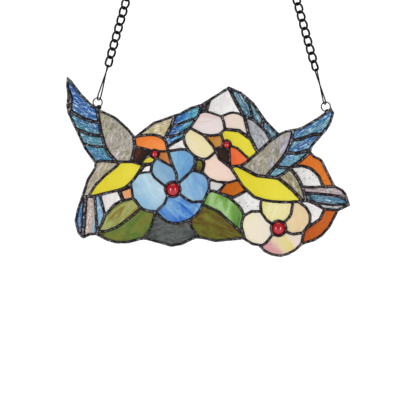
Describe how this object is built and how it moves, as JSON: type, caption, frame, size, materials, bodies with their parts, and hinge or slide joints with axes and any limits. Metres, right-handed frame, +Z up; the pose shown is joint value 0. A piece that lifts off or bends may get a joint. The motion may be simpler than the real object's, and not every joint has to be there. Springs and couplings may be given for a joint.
{
  "type": "stained glass window panel",
  "caption": "Hanging stained glass panel: two birds over flowers and leaves in soldered glass, with domed jewels, on two chains with hooks.",
  "frame": {"origin": "midway between the inner tops of the two hooks, where they bear on what holds them", "axes": "+Z up, front of the panel towards -Y, +X to the right seen from the front"},
  "size_m": [0.399, 0.0107, 0.3946],
  "materials": {
    "patinated_solder": "lumpy hand-run solder with a black patina, satin where it is rubbed",
    "ring_wire": "dark tinned wire",
    "blackened_steel": "blackened steel wire",
    "red_jewel_glass": "pressed, polished ruby glass",
    "clear_textured_glass": "clear rolled glass with seeds and ripples",
    "blue_streaky_glass": "streaky blue and teal art glass",
    "mottled_grey_glass": "mottled grey-olive iridised art glass",
    "green_opal_glass": "streaky green and brown opalescent glass",
    "blue_opal_glass": "streaky blue and white opalescent glass",
    "cream_opal_glass": "cream opalescent glass with pink and yellow wisps",
    "yellow_opal_glass": "yellow opalescent glass",
    "orange_opal_glass": "orange opalescent glass",
    "dark_glass": "near-opaque dark brown and grey glass"
  },
  "bodies": {
    "root": {"solder_lines": "patinated_solder", "left_near_wing_feathers": "blue_streaky_glass", "left_wing_covert": "mottled_grey_glass", "left_bird_back": "mottled_grey_glass", "left_bird_belly": "yellow_opal_glass", "left_bird_crest": "orange_opal_glass", "left_bird_cheek": "dark_glass", "left_bird_throat": "yellow_opal_glass", "left_bird_beak": "orange_opal_glass", "left_bird_tail": "blue_streaky_glass", "left_far_wing_covert": "mottled_grey_glass", "left_far_wing_feathers": "blue_streaky_glass", "clear_by_left_tail": "clear_textured_glass", "clear_over_blue_flower": "clear_textured_glass", "clear_top": "clear_textured_glass", "clear_in_middle": "clear_textured_glass", "clear_low_right": "clear_textured_glass", "clear_by_right_tail": "clear_textured_glass", "orange_left_of_bird": "orange_opal_glass", "orange_arc_upper": "orange_opal_glass", "orange_arc_lower": "orange_opal_glass", "left_leaf_upper": "green_opal_glass", "left_leaf_lower": "green_opal_glass", "dark_ground": "dark_glass", "right_leaf_dark": "green_opal_glass", "right_leaf_light": "green_opal_glass", "blue_petal_left": "blue_opal_glass", "blue_petal_upper_left": "blue_opal_glass", "blue_petal_upper_right": "blue_opal_glass", "blue_petal_right": "blue_opal_glass", "blue_petal_low": "blue_opal_glass", "cream_petal_top_left": "cream_opal_glass", "cream_petal_top_right": "cream_opal_glass", "cream_petal_left": "cream_opal_glass", "cream_petal_low": "cream_opal_glass", "pale_petal_top": "cream_opal_glass", "pale_petal_right": "cream_opal_glass", "pale_petal_low": "cream_opal_glass", "pale_petal_left": "cream_opal_glass", "right_bird_beak": "orange_opal_glass", "right_bird_crest": "yellow_opal_glass", "right_bird_throat": "orange_opal_glass", "right_bird_cheek": "dark_glass", "right_bird_belly": "yellow_opal_glass", "right_bird_rump": "mottled_grey_glass", "right_bird_tail": "blue_streaky_glass", "right_far_wing_covert": "mottled_grey_glass", "right_far_wing_feathers": "blue_streaky_glass", "right_wing_covert": "mottled_grey_glass", "right_near_wing_feathers": "blue_streaky_glass", "blue_flower_jewel": "red_jewel_glass", "cream_flower_jewel": "red_jewel_glass", "left_bird_eye": "red_jewel_glass", "right_bird_eye": "red_jewel_glass", "left_ring": "ring_wire", "left_chain": "blackened_steel", "left_hook": "blackened_steel", "right_ring": "ring_wire", "right_chain": "blackened_steel", "right_hook": "blackened_steel"}
  },
  "joints": []
}
